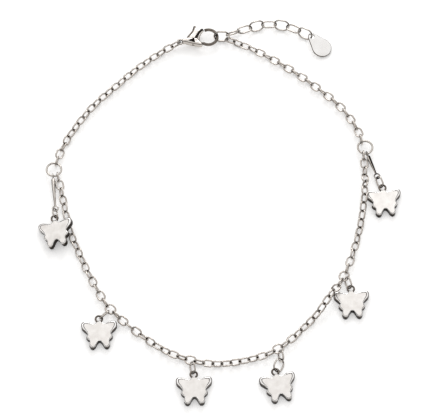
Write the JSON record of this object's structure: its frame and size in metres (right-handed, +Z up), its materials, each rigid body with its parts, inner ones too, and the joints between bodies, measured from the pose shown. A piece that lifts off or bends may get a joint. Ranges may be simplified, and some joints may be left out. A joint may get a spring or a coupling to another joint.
{
  "type": "charm bracelet",
  "caption": "Cable-chain charm bracelet of ankle length laid in an oval, with flat winged charms on jump rings, a lobster clasp and an extender chain.",
  "frame": {"origin": "middle of the bounding box at the surface it lies on", "axes": "+Y from the front charms to the clasp, +X towards the extender, +Z up from the surface"},
  "size_m": [0.0832, 0.0998, 0.0036],
  "materials": {
    "polished_silver": "bright polished silver-tone plating",
    "satin_silver": "satin brushed silver-tone faces"
  },
  "bodies": {
    "bracelet": {"chain_front": "polished_silver", "chain_left": "polished_silver", "chain_right": "polished_silver", "charm_1": "satin_silver", "charm_2": "satin_silver", "charm_3": "satin_silver", "charm_4": "satin_silver", "charm_5": "satin_silver", "charm_6": "satin_silver", "clasp_body": "polished_silver", "drop_bar_left": "polished_silver", "drop_bar_right": "polished_silver", "end_ring_left": "polished_silver", "end_ring_right": "polished_silver", "extender_link_1": "polished_silver", "extender_link_2": "polished_silver", "extender_link_3": "polished_silver", "extender_link_4": "polished_silver", "extender_link_5": "polished_silver", "extender_link_6": "polished_silver", "extender_link_7": "polished_silver", "extender_tag": "polished_silver", "hook_ring": "polished_silver", "jump_ring_1": "polished_silver", "jump_ring_2": "polished_silver", "jump_ring_3": "polished_silver", "jump_ring_4": "polished_silver", "jump_ring_5": "polished_silver", "jump_ring_6": "polished_silver", "upper_ring_4": "polished_silver"},
    "lever": {"clasp_lever": "polished_silver"}
  },
  "joints": [
    {"name": "clasp_lever_hinge", "type": "hinge", "parent": "bracelet", "child": "lever", "pos_m": [-0.00556, 0.0438, 0.00159], "axis": [0, 0, 1], "range_deg": [0, 22], "stiffness_Nm_per_rad": 0.00005, "springref_deg": -17.19}
  ]
}
